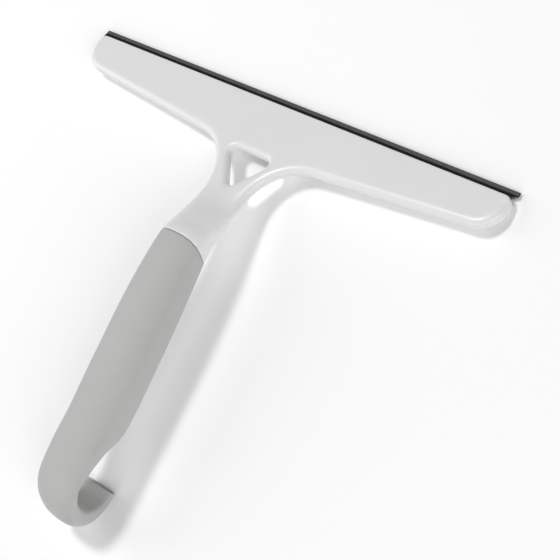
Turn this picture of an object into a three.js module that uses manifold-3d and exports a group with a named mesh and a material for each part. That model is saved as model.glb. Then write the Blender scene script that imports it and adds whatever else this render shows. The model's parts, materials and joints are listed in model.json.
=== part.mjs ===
// One-hand window squeegee: a T-shaped moulding with a soft grip and a hanging hook,
// and a silicone blade held between the moulding's front jaw and a rear clamp strip.
//
// Every piece is drawn in the head's own frame, in millimetres:
//   x runs across the head, y runs up towards the wiping edge (0 at the edge),
//   z runs out of the head's flat front face (0 on the face).
// The finished model is then tilted so that it lies on a flat surface, on the land
// behind its jaws and the outside of the hook, and its origin is put at the middle of
// its footprint, with +Z up.
import * as THREE from 'three';
import { mergeVertices } from 'three/addons/utils/BufferGeometryUtils.js';
import Module from 'manifold-3d';

const wasm = await Module();
wasm.setup();

// ---- Driving dimensions, in millimetres and degrees ----

// Head plate and yoke
const headWidth = 235;
const headEndHeight = 15.9; // jaw mouth to lower edge, at the ends
const headThickness = 5.2;
const lowerEdgeSlope = 4.9; // degrees that the lower edge drops towards the middle
const mouthCornerRadius = 3.6;
const lowerCornerRadius = 12;
const yokeRadius = 23; // fillet between the lower edge and the neck
const neckWidth = 21.8;
const edgeCrownWidth = 3.2; // how far the soft edge reaches in from the outline
const edgeCrownDepth = 2.1;
const yokeLength = 57; // wiping edge to the end of the flat yoke, inside the neck

// Triangular window in the yoke
const windowWidth = 27.4;
const windowTop = 28.2; // wiping edge to the window's upper side
const windowHeight = 19;
const windowCornerRadius = 3.1;
const windowCrownWidth = 2.5; // how far the window's soft edge reaches out from it
const windowCrownDepth = 1.8;

// Blade: a thin lip, a web and a round bead, all one length of silicone
const lipReach = 3.7; // how far the lip stands out of the jaws
const lipEdgeThickness = 0.8;
const webThickness = 1.6;
const beadRadius = 1.5;
const beadDepth = 6.7; // jaw mouth to the bead's centre

// Jaws around the blade
const frontJawWall = 1.5;
const bladeClearance = 0.25;
const endWall = 3; // closes the blade's channel at the +x end; the -x end is open
const rearStripHeight = 12;
const rearStripRib = 3.1; // height of the rib that seats in the moulding
const landInset = 1.3; // jaw mouth to the middle of the head's resting land
const landDepth = 0.2; // how deep the land is cut at its middle

// Handle
const gripAngle = 15; // degrees that the grip leans back from the front face
const gripTop = 77; // wiping edge to the grip's upper end
const gripRise = -0.5; // height of the grip's axis there
const gripLength = 105.6; // grip's upper end to the middle of the hook
const gripTopDepth = 18.1;
const gripBellyDepth = 22;
const gripWidth = 25;
const collarLine = 78; // wiping edge to the grip's upper edge, level with the front face
const collarLean = 12; // degrees that this edge slopes down towards the back
const sleeveWall = 1.5;
const fitGap = 0.3; // clear gap between neighbouring pieces

// Hook
const hookBore = 19.4;
const hookTopWall = 6.8;
const hookTipWall = 4.8;
const hookHeel = 3.7; // extra thickness where the hook turns
const hookWidth = 22.4;
const hookTipWidth = 18.4;
const hookNose = 24; // degrees of turn in the rounded tip
const hookNoseShare = 0.3; // width of the nose's end, as a share of the tip's width

// How the handle swells on its way down. On the neck, front and back say how far its
// surfaces stand out of the plate's; on the grip, how far they differ from the belly's.
// A share is counted along the neck or along the grip.
const neckStations = [
  { share: 0, front: -0.3, back: -0.3, wider: -0.9 },
  { share: 0.31, front: 1.6, back: 0.4, wider: 0.1 },
  { share: 0.66, front: 5.4, back: 2, wider: 0 },
];
const gripStations = [
  { share: 0.25, front: 0, back: -0.2, wider: -0.5 },
  { share: 0.55, front: -0.9, back: 1.1, wider: 0 },
  { share: 0.76, front: -1.6, back: 1.2, wider: -0.3 },
  { share: 0.87, front: -2.4, back: -6, wider: -0.6 },
];
const neckRoot = 0.7; // window's lower corner to the neck's first section

// ---- Resolution of the curved surfaces ----

const ringPoints = 24;
const stepsPerSpan = 3;
const hookSpans = 6;
const noseSteps = 4;
const noseTurn = 84; // degrees; short of 90, so that the nose ends in a small flat
const arcSegments = 10;
const crownSegments = 4;
const sectionPower = 2.6; // above 2, a section is squarer than an ellipse

const radians = THREE.MathUtils.degToRad;
const tooBig = 400; // safely outside the whole object

// ---- Solids ----

function toSolid(geometry) {
  const bare = geometry.clone();
  for (const name of Object.keys(bare.attributes)) {
    if (name !== 'position') bare.deleteAttribute(name);
  }
  const merged = mergeVertices(bare, 1e-4);
  const corners = Array.from(merged.index.array);
  const faces = [];
  for (let i = 0; i < corners.length; i += 3) {
    const [a, b, c] = corners.slice(i, i + 3);
    if (a !== b && b !== c && c !== a) faces.push(a, b, c);
  }
  return new wasm.Manifold(new wasm.Mesh({
    numProp: 3,
    vertProperties: new Float32Array(merged.attributes.position.array),
    triVerts: new Uint32Array(faces),
  }));
}

function toGeometry(solid) {
  const mesh = solid.getMesh();
  const geometry = new THREE.BufferGeometry();
  geometry.setAttribute('position', new THREE.BufferAttribute(mesh.vertProperties, 3));
  geometry.setIndex(new THREE.BufferAttribute(mesh.triVerts, 1));
  geometry.computeVertexNormals();
  return geometry;
}

// A shape whose corners { x, y, r } are each rounded by an arc of radius r.
function roundedShape(corners) {
  const points = corners.flatMap((corner, i) => {
    const here = new THREE.Vector2(corner.x, corner.y);
    const last = corners[(i + corners.length - 1) % corners.length];
    const next = corners[(i + 1) % corners.length];
    const back = new THREE.Vector2(last.x, last.y).sub(here).normalize();
    const ahead = new THREE.Vector2(next.x, next.y).sub(here).normalize();
    const half = Math.acos(back.dot(ahead)) / 2;
    const start = here.clone().addScaledVector(back, corner.r / Math.tan(half));
    const middle = back.clone().add(ahead).normalize();
    const centre = here.clone().addScaledVector(middle, corner.r / Math.sin(half));
    const turn = Math.sign(ahead.cross(back)) * (Math.PI - 2 * half);
    const steps = Math.max(2, Math.round((Math.abs(turn) / (Math.PI / 2)) * arcSegments));
    return Array.from({ length: steps + 1 }, (_, step) => (
      start.clone().rotateAround(centre, (turn * step) / steps)));
  });
  return new THREE.Shape(points);
}

// A plate drawn in x and y, from z = bottom up to z = top.
function platePrism(shape, bottom, top) {
  const options = { depth: top - bottom, bevelEnabled: false, curveSegments: arcSegments };
  return new THREE.ExtrudeGeometry(shape, options).translate(0, 0, bottom);
}

// A bar from x = left to x = right whose section is drawn with (y, z) points.
function crossBar(shape, left, right) {
  const bar = platePrism(shape, left, right);
  const sectionToHead = new THREE.Matrix4().set(
    0, 0, 1, 0,
    1, 0, 0, 0,
    0, 1, 0, 0,
    0, 0, 0, 1,
  );
  return bar.applyMatrix4(sectionToHead);
}

function polygon(points) {
  return new THREE.Shape(points.map(([y, z]) => new THREE.Vector2(y, z)));
}

// ---- Head ----

const jawMouth = -lipReach;
const bladePlane = -(frontJawWall + bladeClearance + webThickness / 2);
const beadCentre = jawMouth - beadDepth;
const stripFoot = jawMouth - rearStripHeight;
const headHalf = headWidth / 2;
const wallInside = headHalf - endWall;
const neckHalf = neckWidth / 2;
const windowBottom = -(windowTop + windowHeight);
const landMiddle = { y: jawMouth - landInset, z: landDepth - headThickness };
const tightCorner = 1.2 * edgeCrownWidth; // the sharpest corner that the crown can follow

function headOutline() {
  const endFoot = jawMouth - headEndHeight;
  const drop = (headHalf - neckHalf) * Math.tan(radians(lowerEdgeSlope));
  const above = jawMouth + 2 * edgeCrownWidth; // cut off later, square to the face
  const right = [
    { x: neckHalf, y: -yokeLength, r: tightCorner },
    { x: neckHalf, y: endFoot - drop, r: yokeRadius },
    { x: headHalf, y: endFoot, r: lowerCornerRadius },
    { x: headHalf, y: above, r: tightCorner },
  ];
  const left = right.map(({ x, y, r }) => ({ x: -x, y, r })).reverse();
  return roundedShape([...right, ...left]);
}

// A plate of the head's thickness whose outline and holes have soft crowned edges.
function crownedPlate(outline, crownWidth, crownDepth) {
  const plate = new THREE.ExtrudeGeometry(outline, {
    depth: headThickness - 2 * crownDepth,
    bevelThickness: crownDepth,
    bevelSize: crownWidth,
    bevelOffset: -crownWidth,
    bevelSegments: crownSegments,
    curveSegments: arcSegments,
  });
  return toSolid(plate.translate(0, 0, crownDepth - headThickness));
}

// All that would stand below the head's resting land, a narrow flat along the back.
function belowLand(tilt) {
  const rise = Math.tan(tilt);
  const foot = landMiddle.y - landDepth / rise;
  return toSolid(crossBar(polygon([
    [foot, -headThickness],
    [foot + headThickness, -headThickness],
    [foot + headThickness, rise * headThickness - headThickness],
  ]), -tooBig, tooBig));
}

// The head plate and yoke with their window, before the jaw is cut.
function headBlank(tilt) {
  const around = new THREE.Shape([
    new THREE.Vector2(-headWidth, headWidth),
    new THREE.Vector2(-headWidth, -headWidth),
    new THREE.Vector2(headWidth, -headWidth),
    new THREE.Vector2(headWidth, headWidth),
  ]);
  around.holes.push(roundedShape([
    { x: -windowWidth / 2, y: -windowTop, r: windowCornerRadius },
    { x: windowWidth / 2, y: -windowTop, r: windowCornerRadius },
    { x: 0, y: windowBottom, r: windowCornerRadius },
  ]));
  return crownedPlate(headOutline(), edgeCrownWidth, edgeCrownDepth)
    .intersect(crownedPlate(around, windowCrownWidth, windowCrownDepth))
    .subtract(belowLand(tilt));
}

// What the front jaw keeps: all below the mouth, with its two upper corners rounded.
function mouthOutline() {
  return roundedShape([
    { x: -headHalf, y: -tooBig, r: mouthCornerRadius },
    { x: headHalf, y: -tooBig, r: mouthCornerRadius },
    { x: headHalf, y: jawMouth, r: mouthCornerRadius },
    { x: -headHalf, y: jawMouth, r: mouthCornerRadius },
  ]);
}

// All that lies behind the front jaw's wall and above y = foot, as a section.
function behindJaw(foot) {
  return polygon([
    [tooBig, -frontJawWall],
    [foot, -frontJawWall],
    [foot, -tooBig],
    [tooBig, -tooBig],
  ]);
}

// The rear strip's seat, the front half of the blade's groove, and room for the lip
// to pass over the end wall.
function bladeSeat() {
  const seat = toSolid(crossBar(behindJaw(stripFoot - fitGap), -tooBig, wallInside));
  const lipRoom = behindJaw(jawMouth - webThickness / 2 - fitGap);
  return seat.add(beadGroove()).add(toSolid(crossBar(lipRoom, -tooBig, tooBig)));
}

function beadGroove() {
  const round = new THREE.Shape().absarc(
    beadCentre, bladePlane, beadRadius + bladeClearance, 0, 2 * Math.PI);
  return toSolid(crossBar(round, -tooBig, wallInside));
}

// The strip closes the blade's channel from behind. Its rib seats against the front
// jaw's wall.
function rearStrip(blank) {
  const face = bladePlane - webThickness / 2 - bladeClearance;
  const top = jawMouth - fitGap / 2;
  const bar = crossBar(polygon([
    [top, face],
    [stripFoot + rearStripRib, face],
    [stripFoot + rearStripRib, -frontJawWall - fitGap],
    [stripFoot, -frontJawWall - fitGap],
    [stripFoot, -tooBig],
    [top, -tooBig],
  ]), -tooBig, wallInside - fitGap);
  return toSolid(bar).subtract(beadGroove()).intersect(blank);
}

// ---- Blade ----

// The lip hinges about the jaw mouth, so its inner end is round about that line.
function bladeLip() {
  const half = webThickness / 2;
  const lip = new THREE.Shape();
  lip.moveTo(0, bladePlane - lipEdgeThickness / 2);
  lip.lineTo(0, bladePlane + lipEdgeThickness / 2);
  lip.lineTo(jawMouth, bladePlane + half);
  lip.absarc(jawMouth, bladePlane, half, Math.PI / 2, 1.5 * Math.PI, false);
  lip.closePath();
  return crossBar(lip, -headHalf, headHalf);
}

// The root stops as far from the channel's open end as from its closed one.
function bladeRoot() {
  const half = webThickness / 2;
  const webTop = jawMouth - half - fitGap;
  const turn = Math.asin(half / beadRadius);
  const root = new THREE.Shape();
  root.moveTo(webTop, bladePlane - half);
  root.lineTo(webTop, bladePlane + half);
  root.absarc(beadCentre, bladePlane, beadRadius, turn, -turn, false);
  root.closePath();
  const end = wallInside - fitGap;
  return crossBar(root, -end, end);
}

// ---- Handle: neck, grip and hook, as one run of sections ----

// A point of the grip's own frame: along = down the grip's axis, out = to its front.
function gripPoint(along, out) {
  const lean = radians(gripAngle);
  return new THREE.Vector2(
    -gripTop - along * Math.cos(lean) - out * Math.sin(lean),
    gripRise - along * Math.sin(lean) + out * Math.cos(lean),
  );
}

// The heel is thickest a little past the middle of the turn, and fades to both sides.
function hookWall(turned) {
  const even = THREE.MathUtils.lerp(hookTopWall, hookTipWall, turned);
  const late = 1.2;
  const fade = 4;
  return even + hookHeel * Math.sin(Math.PI * turned ** late) ** fade;
}

// The hook's section after it has turned through a share (0 to 1) of its half circle.
function hookSection(turned) {
  const angle = Math.PI * (0.5 - turned);
  const bore = hookBore / 2;
  const outside = bore + hookWall(turned);
  const centre = -bore; // the bore just touches the grip's axis
  return {
    front: gripPoint(gripLength + outside * Math.cos(angle), centre + outside * Math.sin(angle)),
    back: gripPoint(gripLength + bore * Math.cos(angle), centre + bore * Math.sin(angle)),
    half: THREE.MathUtils.lerp(hookWidth, hookTipWidth, turned) / 2,
  };
}

// The sections that shape the handle, from the yoke down to the hook's tip. Each has
// its front and back points, in y and z, and half its width.
function handleSections() {
  const root = windowBottom - neckRoot;
  const run = gripTop + root;
  const top = gripTopDepth / 2;
  const belly = gripBellyDepth / 2;
  const neck = neckStations.map(({ share, front, back, wider }) => ({
    front: new THREE.Vector2(root - share * run, front),
    back: new THREE.Vector2(root - share * run, -headThickness - back),
    half: neckHalf + wider,
  }));
  const collar = { front: gripPoint(0, top), back: gripPoint(0, -top), half: neckHalf };
  const grip = gripStations.map(({ share, front, back, wider }) => ({
    front: gripPoint(share * gripLength, belly + front),
    back: gripPoint(share * gripLength, -belly - back),
    half: gripWidth / 2 + wider,
  }));
  const turns = Array.from({ length: hookSpans + 1 }, (_, span) => (
    hookSection(span / hookSpans)));
  return [...neck, collar, ...grip, ...turns];
}

// Smooth sections through the shaping ones, each moved in by an inset on all sides,
// and closed at the tip by a rounded nose.
function smoothSections(inset) {
  const shaping = handleSections();
  const fronts = shaping.map(({ front, half }) => new THREE.Vector3(front.x, front.y, half));
  const backs = shaping.map(({ back, half }) => new THREE.Vector3(back.x, back.y, half));
  const frontRun = new THREE.CatmullRomCurve3(fronts, false, 'catmullrom', 0.5);
  const backRun = new THREE.CatmullRomCurve3(backs, false, 'catmullrom', 0.5);
  const steps = stepsPerSpan * (shaping.length - 1);
  const sections = [];
  for (let i = 0; i <= steps; i += 1) {
    const front = frontRun.getPoint(i / steps);
    const back = backRun.getPoint(i / steps);
    const across = new THREE.Vector2(back.x - front.x, back.y - front.y).setLength(inset);
    sections.push({
      front: new THREE.Vector2(front.x, front.y).add(across),
      back: new THREE.Vector2(back.x, back.y).sub(across),
      half: front.z - inset,
    });
  }
  return [...sections, ...noseSections(sections.at(-1), inset)];
}

function noseSections(last, inset) {
  const pivot = gripPoint(gripLength, -hookBore / 2);
  const sweep = radians(hookNose) - inset / (hookBore / 2);
  const nose = [];
  for (let i = 1; i <= noseSteps; i += 1) {
    const lift = radians(noseTurn) * (i / noseSteps);
    const middle = last.front.clone().add(last.back).divideScalar(2);
    const reach = last.front.clone().sub(last.back).multiplyScalar(Math.cos(lift) / 2);
    const turn = -sweep * Math.sin(lift);
    nose.push({
      front: middle.clone().add(reach).rotateAround(pivot, turn),
      back: middle.clone().sub(reach).rotateAround(pivot, turn),
      half: last.half * THREE.MathUtils.lerp(hookNoseShare, 1, Math.cos(lift)),
    });
  }
  return nose;
}

// A closed skin over a run of sections, with flat ends.
function loft(sections) {
  const positions = [];
  const indices = [];
  const power = 2 / sectionPower;
  const soften = (value) => Math.sign(value) * Math.abs(value) ** power;
  for (const { front, back, half } of sections) {
    for (let i = 0; i < ringPoints; i += 1) {
      const angle = (i / ringPoints) * 2 * Math.PI;
      const side = soften(Math.cos(angle));
      const share = (1 + soften(Math.sin(angle))) / 2;
      const point = back.clone().lerp(front, share);
      positions.push(side * half, point.x, point.y);
    }
  }
  for (let s = 0; s + 1 < sections.length; s += 1) {
    for (let i = 0; i < ringPoints; i += 1) {
      const a = s * ringPoints + i;
      const b = s * ringPoints + ((i + 1) % ringPoints);
      indices.push(a, b, b + ringPoints, a, b + ringPoints, a + ringPoints);
    }
  }
  const last = (sections.length - 1) * ringPoints;
  for (let i = 1; i + 1 < ringPoints; i += 1) {
    indices.push(0, i + 1, i, last, last + i, last + i + 1);
  }
  const skin = new THREE.BufferGeometry();
  skin.setAttribute('position', new THREE.Float32BufferAttribute(positions, 3));
  skin.setIndex(indices);
  return skin;
}

// Everything below the grip's upper edge, moved down by a shift.
function belowCollar(shift) {
  const block = new THREE.BoxGeometry(tooBig, tooBig, tooBig);
  block.translate(0, -tooBig / 2 - shift, 0).rotateX(-radians(collarLean));
  return toSolid(block.translate(0, -collarLine, 0));
}

function gripSleeve() {
  const outside = toSolid(loft(smoothSections(0))).intersect(belowCollar(0));
  return outside.subtract(toSolid(loft(smoothSections(sleeveWall))));
}

function headAndHandleFrame(blank) {
  const neck = toSolid(loft(smoothSections(0))).subtract(belowCollar(-fitGap));
  const core = toSolid(loft(smoothSections(sleeveWall + fitGap)));
  const kept = toSolid(platePrism(mouthOutline(), -tooBig, tooBig));
  return blank.intersect(kept).subtract(bladeSeat()).add(neck).add(core);
}

// ---- Rest position ----

// The tilt at which the head's land and the hook both touch one flat surface.
function restTilt() {
  const slopes = smoothSections(0).flatMap(({ front, back }) => [front, back].map(
    (point) => Math.atan2(landMiddle.z - point.y, landMiddle.y - point.x)));
  return Math.max(...slopes);
}

// ---- Assembly ----

const whitePlastic = { color: 0xeeeeec, roughness: 0.36, metalness: 0 };
const greyElastomer = { color: 0xb2b3b2, roughness: 0.82, metalness: 0 };
const darkSilicone = { color: 0x3e3f40, roughness: 0.55, metalness: 0 };

function piece(name, geometry, finish) {
  const mesh = new THREE.Mesh(geometry, new THREE.MeshStandardMaterial(finish));
  mesh.name = name;
  return mesh;
}

const tilt = restTilt();
const blank = headBlank(tilt);
const model = new THREE.Group();
model.add(
  piece('head_and_handle_frame', toGeometry(headAndHandleFrame(blank)), whitePlastic),
  piece('rear_clamp_strip', toGeometry(rearStrip(blank)), whitePlastic),
  piece('blade_root', bladeRoot(), darkSilicone),
  piece('blade_lip', bladeLip(), darkSilicone),
  piece('grip_sleeve', toGeometry(gripSleeve()), greyElastomer),
);
model.rotation.x = -tilt;

const group = new THREE.Group();
group.add(model);
const footprint = new THREE.Box3().setFromObject(group, true);
const middle = footprint.getCenter(new THREE.Vector3());
model.position.set(-middle.x, -middle.y, -footprint.min.z);

export default group;
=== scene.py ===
"""Looks of a hand-held window cleaning squeegee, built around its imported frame.

Every shape is first drawn in the head's own axes, in millimetres: x across the head,
y up towards the wiping edge (0 at the edge), z out of the flat front face (0 on it).
HeadAxes then carries it to its resting place, in metres.
"""

import json
import logging
import math
from collections.abc import Sequence
from dataclasses import dataclass, field, replace
from enum import Enum

import bmesh
import bpy
import numpy as np
from mathutils import Matrix, Vector
from mathutils.geometry import delaunay_2d_cdt

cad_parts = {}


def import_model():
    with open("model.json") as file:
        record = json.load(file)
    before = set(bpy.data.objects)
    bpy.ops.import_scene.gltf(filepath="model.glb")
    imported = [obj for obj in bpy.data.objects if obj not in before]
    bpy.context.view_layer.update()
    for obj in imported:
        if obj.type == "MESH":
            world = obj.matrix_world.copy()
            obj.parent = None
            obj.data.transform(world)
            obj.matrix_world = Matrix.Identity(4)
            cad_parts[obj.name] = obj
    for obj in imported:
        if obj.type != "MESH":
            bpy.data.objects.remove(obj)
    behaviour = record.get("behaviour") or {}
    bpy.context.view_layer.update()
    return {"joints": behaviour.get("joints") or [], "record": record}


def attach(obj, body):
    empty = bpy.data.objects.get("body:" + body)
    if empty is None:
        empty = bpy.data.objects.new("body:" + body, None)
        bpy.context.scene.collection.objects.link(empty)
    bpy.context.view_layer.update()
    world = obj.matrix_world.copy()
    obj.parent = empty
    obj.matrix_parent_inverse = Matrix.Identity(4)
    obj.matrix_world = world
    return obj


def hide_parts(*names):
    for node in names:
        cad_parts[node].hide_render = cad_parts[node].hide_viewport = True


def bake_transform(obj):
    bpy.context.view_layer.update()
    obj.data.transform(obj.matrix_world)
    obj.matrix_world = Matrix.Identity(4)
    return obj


logging.basicConfig(level=logging.INFO, format="%(message)s")
log = logging.getLogger("squeegee")

MM = 0.001
FLUSH = 2e-6  # metres: vertices closer than this are one vertex
ARC_STEP = math.radians(7)
# millimetres: depths behind, before and below the blade that a cutting tool clears
TOOL_BACK, TOOL_FRONT, TOOL_FOOT = -9.0, 2.0, -30.0


# ---- Node trees -------------------------------------------------------------------


class Value:
    """A node's number that takes part in Python expressions; each adds a Math node."""

    def __init__(self, tree: "Tree", socket: bpy.types.NodeSocket) -> None:
        """Args: tree: the tree the socket is in. socket: the socket itself."""
        self.tree = tree
        self.socket = socket

    def _math(self, operation: str, *terms: "Value | float") -> "Value":
        """Adds one Math node.

        Args:
            operation: the Math node's operation.
            terms: its inputs, in order.

        Returns:
            The node's result.
        """
        inputs = dict(enumerate(terms))
        return self.tree.add("ShaderNodeMath", {"operation": operation}, inputs)

    def __add__(self, other: "Value | float") -> "Value":
        """This plus other."""
        return self._math("ADD", self, other)

    def __radd__(self, other: float) -> "Value":
        """Other plus this."""
        return self._math("ADD", other, self)

    def __sub__(self, other: "Value | float") -> "Value":
        """This minus other."""
        return self._math("SUBTRACT", self, other)

    def __rsub__(self, other: float) -> "Value":
        """Other minus this."""
        return self._math("SUBTRACT", other, self)

    def __mul__(self, other: "Value | float") -> "Value":
        """This times other."""
        return self._math("MULTIPLY", self, other)

    def __rmul__(self, other: float) -> "Value":
        """Other times this."""
        return self._math("MULTIPLY", other, self)

    def __truediv__(self, other: "Value | float") -> "Value":
        """This divided by other."""
        return self._math("DIVIDE", self, other)

    def at_least(self, other: "Value | float") -> "Value":
        """The larger of this and other."""
        return self._math("MAXIMUM", self, other)

    def at_most(self, other: "Value | float") -> "Value":
        """The smaller of this and other."""
        return self._math("MINIMUM", self, other)

    def above(self, other: "Value | float") -> "Value":
        """1 where this is greater than other, or else 0."""
        return self._math("GREATER_THAN", self, other)

    def root(self) -> "Value":
        """The square root."""
        return self._math("SQRT", self)


class Tree:
    """Adds nodes to one shader or geometry node tree."""

    def __init__(self, nodes: bpy.types.NodeTree) -> None:
        """Args: nodes: the node tree to fill."""
        self.nodes = nodes

    def add(
        self,
        kind: str,
        settings: dict | None = None,
        inputs: dict | None = None,
        output: int | str = 0,
    ) -> Value:
        """Adds a node, sets it up, and feeds it.

        Args:
            kind: the node's type.
            settings: the node's attributes, which are set first.
            inputs: a value or a link for each socket, by name or number.
            output: the socket to hand back.

        Returns:
            The chosen output.
        """
        node = self.nodes.nodes.new(kind)
        for name, setting in (settings or {}).items():
            setattr(node, name, setting)
        for name, value in (inputs or {}).items():
            if isinstance(value, Value):
                self.nodes.links.new(value.socket, node.inputs[name])
            else:
                node.inputs[name].default_value = value
        if not len(node.outputs):
            return Value(self, None)
        return Value(self, node.outputs[output])

    def tint(self, factor: Value, low: tuple, high: tuple) -> Value:
        """Mixes two colours. Args: factor, low, high. Returns: the mix."""
        return self.add(
            "ShaderNodeMix",
            {"data_type": "RGBA"},
            {0: factor, 6: (*low, 1.0), 7: (*high, 1.0)},
            2,
        )


# ---- Finishes ---------------------------------------------------------------------


class Direction(Enum):
    """Which way a finish's fine marks run."""

    EVEN = (1.0, 1.0, 1.0)
    ALONG_BLADE = (0.02, 1.0, 1.0)


@dataclass(frozen=True)
class Finish:
    """A moulded surface: a cloudy base colour, a varying gloss and a fine grain."""

    name: str
    slot: str
    low: tuple
    high: tuple
    roughness: float
    roughness_spread: float
    cloud_size: float  # millimetres
    grain_size: float
    grain_depth: float
    pore_size: float
    pore_depth: float
    grain: Direction = Direction.EVEN
    sheen: float = 0.0
    specular: float = 0.5
    coat: float = 0.0

    def noise(self, tree: Tree, size: float, detail: float, grain: Direction) -> Value:
        """A noise whose blobs have a real size.

        Args:
            tree: the shader tree.
            size: the blobs' size in millimetres.
            detail: octaves.
            grain: which way the noise is drawn out.

        Returns:
            The noise, 0 to 1.
        """
        place = tree.add("ShaderNodeTexCoord", output="Object")
        drawn = tree.add(
            "ShaderNodeMapping", None, {"Vector": place, "Scale": grain.value}
        )
        return tree.add(
            "ShaderNodeTexNoise",
            None,
            {
                "Vector": drawn,
                "Scale": 1 / (size * MM),
                "Detail": detail,
                "Roughness": 0.55,
            },
        )

    def build(self) -> bpy.types.Material:
        """Builds the material. Returns: the material."""
        material = bpy.data.materials.new(self.name)
        material.use_nodes = True
        material.node_tree.nodes.clear()
        tree = Tree(material.node_tree)
        clouds = self.noise(tree, self.cloud_size, 3.0, Direction.EVEN)
        grain = self.noise(tree, self.grain_size, 4.0, self.grain)
        pores = self.noise(tree, self.pore_size, 1.0, self.grain)
        mottled = clouds * 0.7 + grain * 0.3
        colour = tree.tint(mottled, self.low, self.high)
        gloss = self.roughness + self.roughness_spread * (clouds + grain - 1.0)
        relief = grain * self.grain_depth + pores * self.pore_depth
        bump = tree.add(
            "ShaderNodeBump", None, {"Strength": 1.0, "Distance": MM, "Height": relief}
        )
        shader = tree.add(
            "ShaderNodeBsdfPrincipled",
            None,
            {
                "Base Color": colour,
                "Roughness": gloss,
                "Normal": bump,
                "Specular IOR Level": self.specular,
                "Sheen Weight": self.sheen,
                "Sheen Roughness": 0.4,
                "Coat Weight": self.coat,
            },
        )
        tree.add("ShaderNodeOutputMaterial", None, {"Surface": shader})
        return material


WHITE_MOULDING = Finish(
    name="white_moulding",
    slot="white_moulding",
    low=(0.77, 0.77, 0.765),
    high=(0.82, 0.82, 0.815),
    roughness=0.36,
    roughness_spread=0.08,
    cloud_size=26.0,
    grain_size=0.9,
    grain_depth=0.010,
    pore_size=0.28,
    pore_depth=0.006,
    coat=0.08,
)
SOFT_GREY = Finish(
    name="soft_grey_grip",
    slot="soft_grip",
    low=(0.45, 0.45, 0.445),
    high=(0.51, 0.51, 0.505),
    roughness=0.74,
    roughness_spread=0.12,
    cloud_size=18.0,
    grain_size=0.7,
    grain_depth=0.022,
    pore_size=0.3,
    pore_depth=0.02,
    sheen=0.18,
    specular=0.35,
)
DARK_SILICONE = Finish(
    name="dark_silicone",
    slot="silicone",
    low=(0.062, 0.063, 0.065),
    high=(0.09, 0.091, 0.093),
    roughness=0.48,
    roughness_spread=0.14,
    cloud_size=12.0,
    grain_size=0.5,
    grain_depth=0.02,
    pore_size=0.25,
    pore_depth=0.01,
    grain=Direction.ALONG_BLADE,
    sheen=0.1,
)
# Painted shade: a near-black copy of the silicone, put on the blade's front near the jaws
# to stand in for the shadow under the jaw's edge.
SILICONE_PAINTED_SHADE = replace(
    DARK_SILICONE,
    name="silicone_band",
    low=(0.004, 0.004, 0.004),
    high=(0.008, 0.008, 0.008),
    sheen=0.0,
    specular=0.2,
)


# ---- Meshes -----------------------------------------------------------------------


@dataclass(frozen=True)
class HeadAxes:
    """The head's own axes within the row frame."""

    origin: Vector
    across: Vector
    up: Vector
    out: Vector

    @classmethod
    def from_record(cls, record: dict, joints: list, hinge_line: tuple) -> "HeadAxes":
        """Finds the axes from the record.

        Args:
            record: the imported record.
            joints: its joints.
            hinge_line: y and z of the lip's hinge in the head's axes, in millimetres.

        Returns:
            The axes.
        """
        face = next(m for m in record["mounts"] if m["name"] == "front_face")
        hinge = next(j for j in joints if j["name"] == "lip_flex")
        out = Vector(face["axis"]).normalized()
        across = Vector((1, 0, 0))
        up = out.cross(across)
        y, z = hinge_line
        origin = Vector(hinge["pos_m"]) - up * (y * MM) - out * (z * MM)
        return cls(origin, across, up, out)

    def matrix(self) -> Matrix:
        """The move from the head's axes to the row frame, both in metres."""
        turn = Matrix((self.across, self.up, self.out)).transposed().to_4x4()
        return Matrix.Translation(self.origin) @ turn


def placed(name: str, data: bpy.types.ID) -> bpy.types.Object:
    """Puts new data into the scene. Args: name, data. Returns: its object."""
    thing = bpy.data.objects.new(name, data)
    bpy.context.scene.collection.objects.link(thing)
    return thing


def face_outwards(shape: bmesh.types.BMesh) -> None:
    """Turns a closed mesh's faces outwards. Args: shape: the mesh."""
    bmesh.ops.recalc_face_normals(shape, faces=shape.faces)
    if shape.calc_volume(signed=True) < 0:
        bmesh.ops.reverse_faces(shape, faces=shape.faces)


def mesh_object(name: str, points: np.ndarray, faces: Sequence) -> bpy.types.Object:
    """Makes one closed mesh, drawn in the head's axes.

    Args:
        name: the object's name.
        points: (n, 3) places in millimetres.
        faces: vertex numbers of each face.

    Returns:
        The object, in metres.
    """
    data = bpy.data.meshes.new(name)
    data.from_pydata((np.asarray(points) * MM).tolist(), [], [list(f) for f in faces])
    shape = bmesh.new()
    shape.from_mesh(data)
    bmesh.ops.remove_doubles(shape, verts=shape.verts, dist=FLUSH)
    bmesh.ops.dissolve_degenerate(shape, edges=shape.edges, dist=FLUSH / 2)
    face_outwards(shape)
    loose = sum(1 for edge in shape.edges if not edge.is_manifold)
    if loose:
        log.warning("%s has %d open edges", name, loose)
    shape.to_mesh(data)
    shape.free()
    return placed(name, data)


def prism(name: str, layers: Sequence[Sequence[tuple]]) -> bpy.types.Object:
    """A solid between two equal outlines. Args: name, layers. Returns: the object."""
    count = len(layers[0])
    sides = [
        (i, (i + 1) % count, count + (i + 1) % count, count + i) for i in range(count)
    ]
    caps = [tuple(range(count - 1, -1, -1)), tuple(range(count, 2 * count))]
    return mesh_object(name, np.vstack(layers), sides + caps)


def bar(
    name: str, outline: Sequence[tuple], left: float, right: float
) -> bpy.types.Object:
    """A bar along x with a section drawn in y and z.

    Args:
        name: the object's name.
        outline: (y, z) corners in millimetres.
        left: where it starts.
        right: where it ends.

    Returns:
        The object.
    """
    return prism(name, [[(x, y, z) for y, z in outline] for x in (left, right)])


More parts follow.
